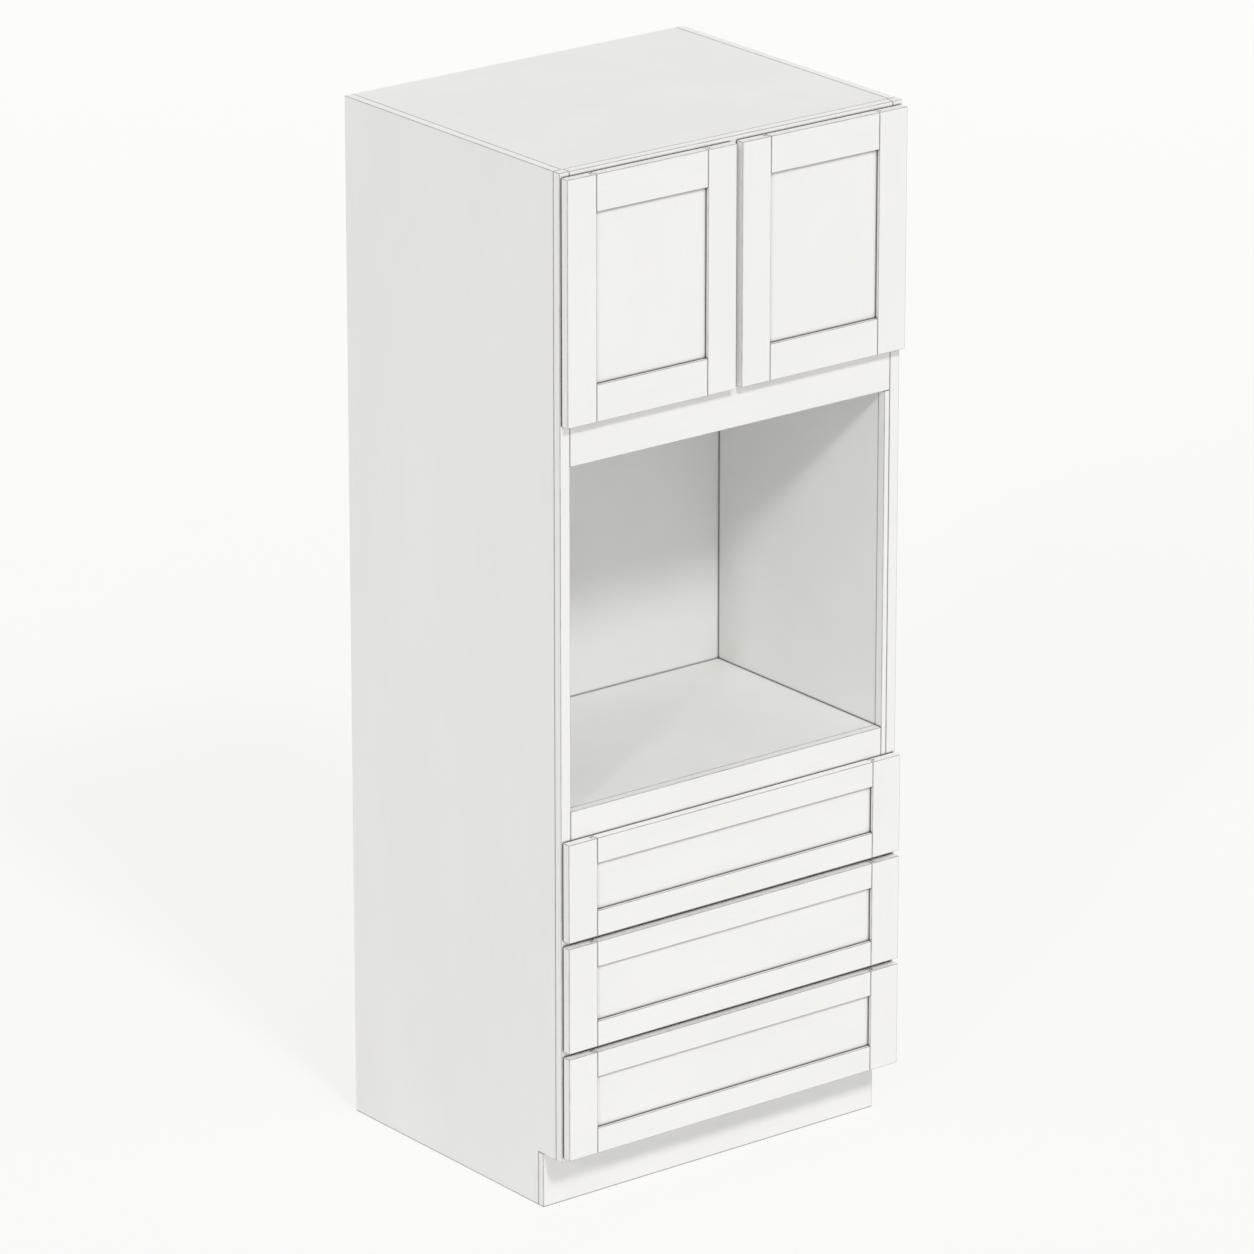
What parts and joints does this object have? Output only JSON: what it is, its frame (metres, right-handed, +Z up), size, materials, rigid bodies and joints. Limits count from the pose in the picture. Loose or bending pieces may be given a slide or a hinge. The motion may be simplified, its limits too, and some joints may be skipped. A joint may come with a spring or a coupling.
{
  "type": "oven cabinet",
  "caption": "Tall white face-frame kitchen cabinet: shaker doors on a cupboard, an open oven bay with a deck, and shaker drawers above a recessed toe kick.",
  "frame": {"origin": "on the floor, under the centre of the cabinet's outline with the doors and drawers closed", "axes": "+Z up, the doors and drawers face -Y, and +X is on the right of someone facing them"},
  "size_m": [0.8382, 0.7064, 2.1336],
  "materials": {
    "white_paint": "satin white paint over hardwood",
    "white_board": "smooth white laminate over plywood",
    "maple": "clear-lacquered solid maple",
    "birch_ply": "clear-lacquered birch plywood",
    "raw_ply": "unfinished plywood",
    "zinc_slide": "zinc-plated rolled steel",
    "nickel_hinge": "nickel-plated pressed steel",
    "zinc_screw": "zinc-plated",
    "bumper": "clear soft polyurethane"
  },
  "bodies": {
    "carcass": {"back_panel": "white_board", "bottom_panel": "white_board", "cabinet_screws": "zinc_screw", "cupboard_floor": "white_board", "face_rail_bottom": "white_paint", "face_rail_oven_head": "white_paint", "face_rail_oven_sill": "white_paint", "face_rail_top": "white_paint", "face_rails_between_drawers": "white_paint", "face_stile_centre": "white_paint", "face_stile_left": "white_paint", "face_stile_right": "white_paint", "front_bumpers": "bumper", "hinge_arms": "nickel_hinge", "oven_bay_back": "white_board", "oven_bay_back_cleats": "raw_ply", "oven_bay_liner_left": "white_board", "oven_bay_liner_right": "white_board", "oven_deck": "white_board", "oven_deck_cleats": "raw_ply", "oven_filler_strip": "white_paint", "side_panel_left": "white_paint", "side_panel_right": "white_paint", "slide_outer_members": "zinc_slide", "slide_packing_strips": "raw_ply", "toe_kick_board": "white_paint", "top_panel": "white_board", "wall_nailers": "raw_ply"},
    "door_left": {"door_left_hinge_cups": "nickel_hinge", "door_left_panel": "white_paint", "door_left_rails": "white_paint", "door_left_stiles": "white_paint"},
    "door_right": {"door_right_hinge_cups": "nickel_hinge", "door_right_panel": "white_paint", "door_right_rails": "white_paint", "door_right_stiles": "white_paint"},
    "drawer_bottom": {"drawer_bottom_box_bottom": "birch_ply", "drawer_bottom_box_ends": "maple", "drawer_bottom_box_sides": "maple", "drawer_bottom_front_panel": "white_paint", "drawer_bottom_front_rails": "white_paint", "drawer_bottom_front_stiles": "white_paint", "drawer_bottom_slide_inner_members": "zinc_slide"},
    "drawer_bottom_slide_middle": {"drawer_bottom_slide_middle_members": "zinc_slide"},
    "drawer_middle": {"drawer_middle_box_bottom": "birch_ply", "drawer_middle_box_ends": "maple", "drawer_middle_box_sides": "maple", "drawer_middle_front_panel": "white_paint", "drawer_middle_front_rails": "white_paint", "drawer_middle_front_stiles": "white_paint", "drawer_middle_slide_inner_members": "zinc_slide"},
    "drawer_middle_slide_middle": {"drawer_middle_slide_middle_members": "zinc_slide"},
    "drawer_top": {"drawer_top_box_bottom": "birch_ply", "drawer_top_box_ends": "maple", "drawer_top_box_sides": "maple", "drawer_top_front_panel": "white_paint", "drawer_top_front_rails": "white_paint", "drawer_top_front_stiles": "white_paint", "drawer_top_slide_inner_members": "zinc_slide"},
    "drawer_top_slide_middle": {"drawer_top_slide_middle_members": "zinc_slide"}
  },
  "joints": [
    {"name": "door_left_hinge", "type": "hinge", "parent": "carcass", "child": "door_left", "pos_m": [-0.4109, -0.3482, 1.87813], "axis": [0, 0, -1], "range_deg": [0, 105]},
    {"name": "door_right_hinge", "type": "hinge", "parent": "carcass", "child": "door_right", "pos_m": [0.4109, -0.3482, 1.87813], "axis": [0, 0, 1], "range_deg": [0, 105]},
    {"name": "drawer_top_slide", "type": "slide", "parent": "carcass", "child": "drawer_top", "axis": [0, -1, 0], "range_m": [0, 0.508]},
    {"name": "drawer_top_middle_member_slide", "type": "slide", "parent": "carcass", "child": "drawer_top_slide_middle", "axis": [0, -1, 0], "range_m": [0, 0.254]},
    {"name": "drawer_middle_slide", "type": "slide", "parent": "carcass", "child": "drawer_middle", "axis": [0, -1, 0], "range_m": [0, 0.508]},
    {"name": "drawer_middle_middle_member_slide", "type": "slide", "parent": "carcass", "child": "drawer_middle_slide_middle", "axis": [0, -1, 0], "range_m": [0, 0.254]},
    {"name": "drawer_bottom_slide", "type": "slide", "parent": "carcass", "child": "drawer_bottom", "axis": [0, -1, 0], "range_m": [0, 0.508]},
    {"name": "drawer_bottom_middle_member_slide", "type": "slide", "parent": "carcass", "child": "drawer_bottom_slide_middle", "axis": [0, -1, 0], "range_m": [0, 0.254]}
  ],
  "couplings": [
    {"joint": "drawer_top_middle_member_slide", "follows": "drawer_top_slide", "ratio": 0.5},
    {"joint": "drawer_middle_middle_member_slide", "follows": "drawer_middle_slide", "ratio": 0.5},
    {"joint": "drawer_bottom_middle_member_slide", "follows": "drawer_bottom_slide", "ratio": 0.5}
  ]
}
